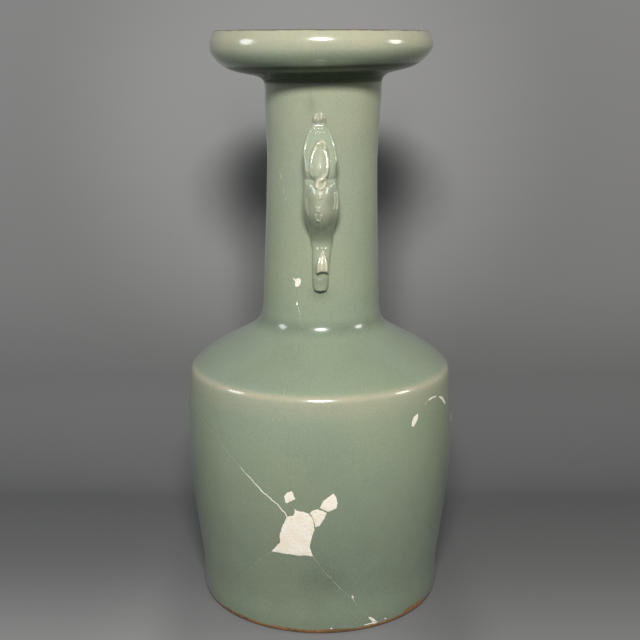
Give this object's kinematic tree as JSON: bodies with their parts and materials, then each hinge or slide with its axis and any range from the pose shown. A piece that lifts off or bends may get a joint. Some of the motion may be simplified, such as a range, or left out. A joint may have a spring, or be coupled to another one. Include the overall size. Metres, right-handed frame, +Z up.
{
  "type": "mallet vase",
  "caption": "celadon mallet vase with a dish mouth, straight neck with two bird handles, sloping shoulder and a mended body on a bare foot",
  "frame": {"origin": "middle of the foot ring's resting plane, on the axis of turning", "axes": "+Z up along the axis of turning, -Y to the front handle, +X to the viewer's right"},
  "size_m": [0.133, 0.133, 0.28],
  "materials": {
    "mouth_dish": "glossy pale grey-green celadon glaze, warmer where thin on the lip",
    "neck": "glossy grey-green celadon glaze",
    "shoulder": "glossy grey-green celadon glaze, pale along the ridge",
    "body_wall": "glossy grey-green celadon glaze",
    "body_sherd_upper_left": "glossy grey-green celadon glaze",
    "body_sherd_lower_front": "glossy grey-green celadon glaze",
    "base_slab": "thinly glazed grey-green underside",
    "foot_ring": "bare body burnt orange-brown, matte",
    "handle_front": "glossy celadon glaze, thin and beige on the relief",
    "handle_back": "glossy celadon glaze, thin and beige on the relief",
    "fill_body_main": "matte warm white filler",
    "fill_body_lobe_lower": "matte warm white filler",
    "fill_body_lobe_upper": "matte warm white filler",
    "fill_body_small": "matte warm white filler",
    "fill_body_leaf": "matte warm white filler",
    "fill_body_arc": "matte warm white filler",
    "fill_right_edge": "matte warm white filler",
    "fill_foot_chip": "matte warm white filler",
    "fill_neck_chip": "matte warm white filler",
    "fill_neck_pinhole": "matte warm white filler"
  },
  "bodies": {
    "root": {"mouth_dish": "mouth_dish", "neck": "neck", "shoulder": "shoulder", "body_wall": "body_wall", "body_sherd_upper_left": "body_sherd_upper_left", "body_sherd_lower_front": "body_sherd_lower_front", "base_slab": "base_slab", "foot_ring": "foot_ring", "handle_front": "handle_front", "handle_back": "handle_back", "fill_body_main": "fill_body_main", "fill_body_lobe_lower": "fill_body_lobe_lower", "fill_body_lobe_upper": "fill_body_lobe_upper", "fill_body_small": "fill_body_small", "fill_body_leaf": "fill_body_leaf", "fill_body_arc": "fill_body_arc", "fill_right_edge": "fill_right_edge", "fill_foot_chip": "fill_foot_chip", "fill_neck_chip": "fill_neck_chip", "fill_neck_pinhole": "fill_neck_pinhole"}
  },
  "joints": []
}
